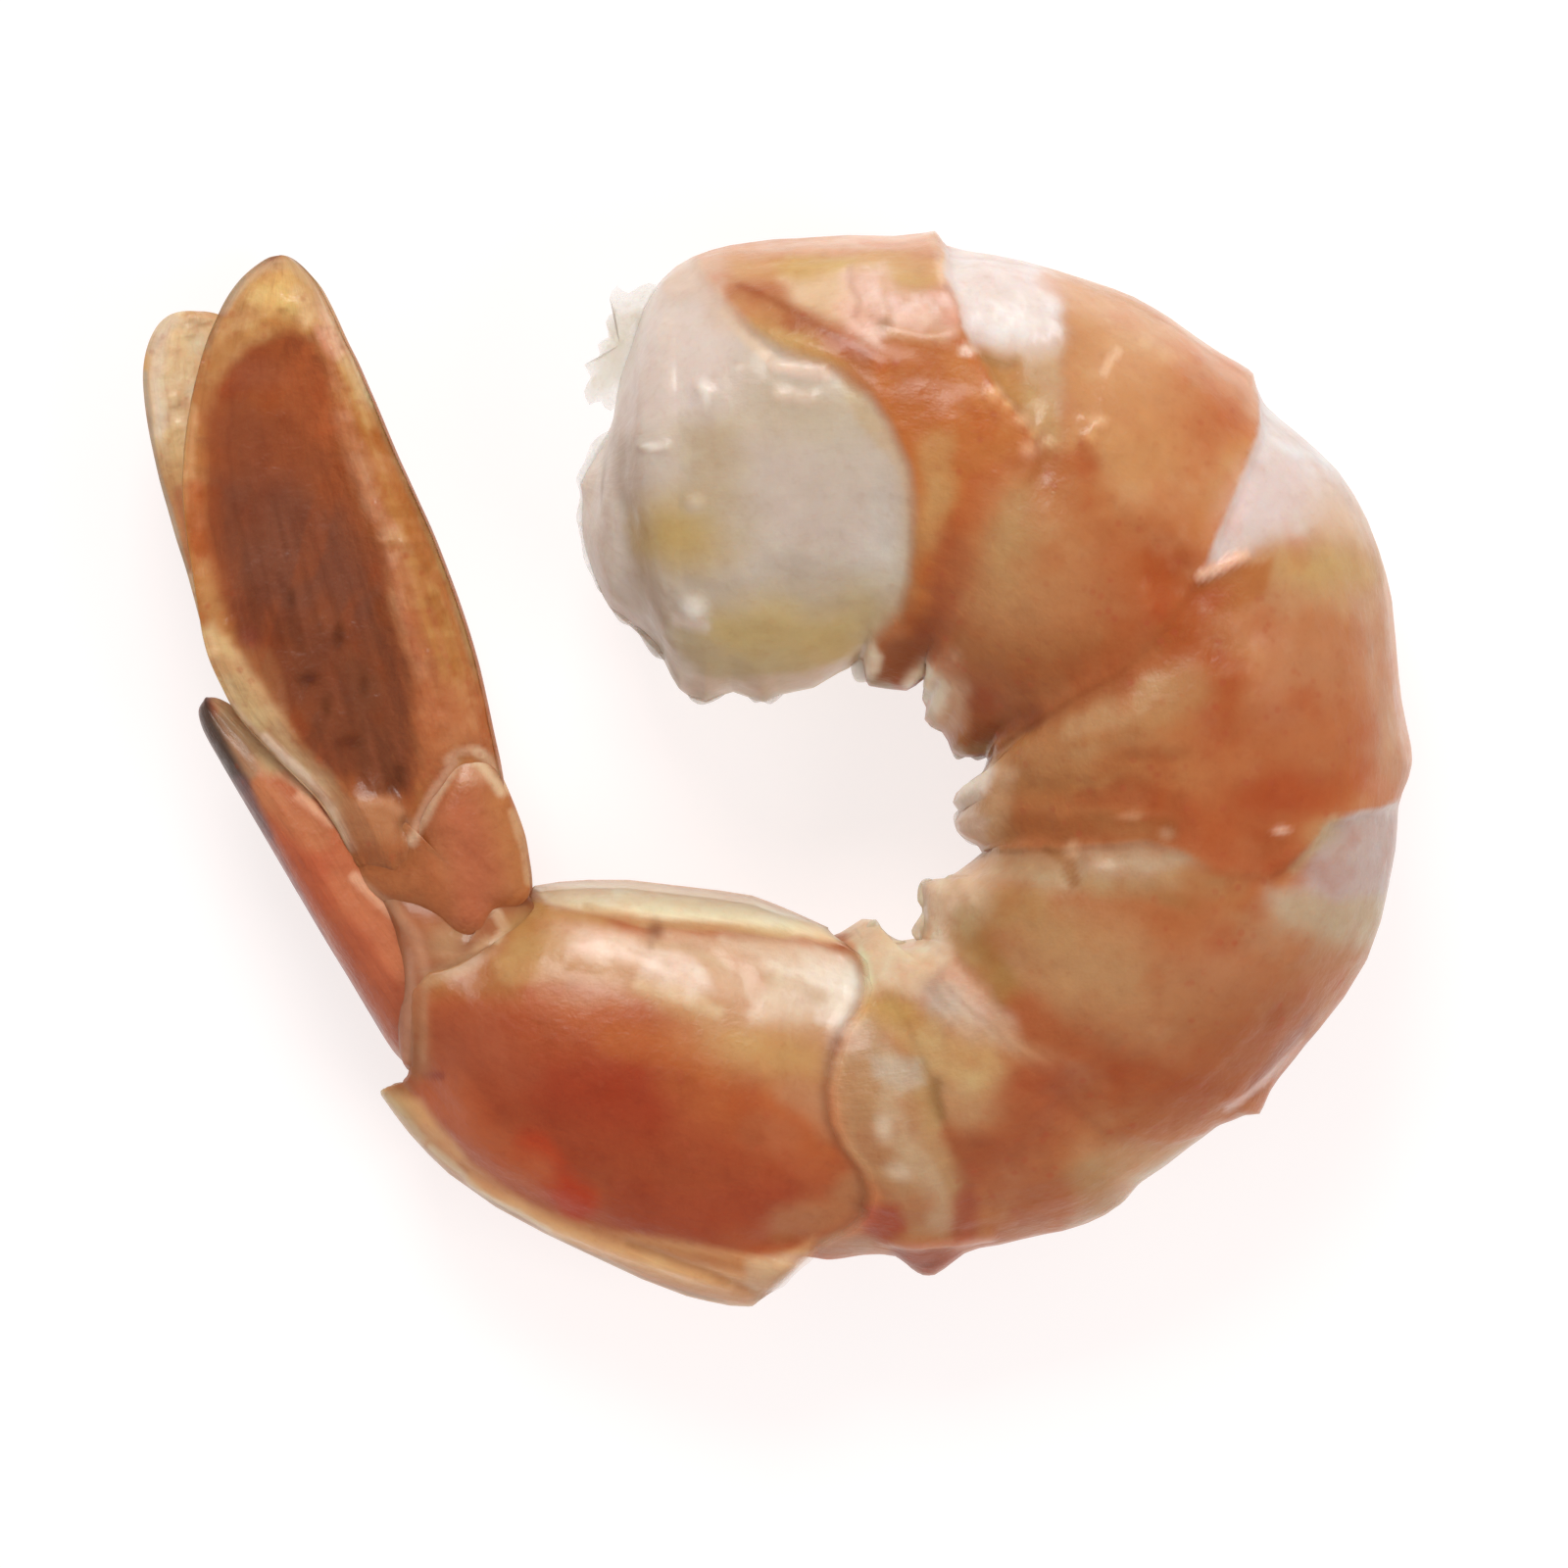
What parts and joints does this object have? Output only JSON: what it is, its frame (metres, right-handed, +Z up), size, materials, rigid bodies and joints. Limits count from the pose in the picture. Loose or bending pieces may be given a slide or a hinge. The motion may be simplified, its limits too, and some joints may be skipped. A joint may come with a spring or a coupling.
{
  "type": "cooked peeled tail-on shrimp",
  "caption": "Curled cooked shrimp, peeled with its tail left on: bare segmented meat, one segment in its shell, a tail spike and a folded tail fan, lying on its side.",
  "frame": {"origin": "middle of the object's bounding box, on the plane it rests on", "axes": "+Z up from the flank it rests on to the flank that shows; the curl lies in the XY plane, open towards -X, with the cut front end at +Y and the shelled last segment at -Y; +X points to the outside of the curl's bend"},
  "size_m": [0.0556, 0.0474, 0.0167],
  "materials": {
    "meat": "moist cooked shrimp meat, white with an orange-pink skin",
    "shell": "wet translucent shell, orange-red with amber edges",
    "fan": "wet translucent tail fan, amber with a dark red-brown hollow"
  },
  "bodies": {
    "root": {"meat": "meat", "tail_shell": "shell", "telson": "fan", "fan_stem_near": "fan", "fan_trough_near": "fan", "fan_leaf_near": "fan", "fan_stem_far": "fan", "fan_trough_far": "fan", "fan_leaf_far": "fan"}
  },
  "joints": []
}
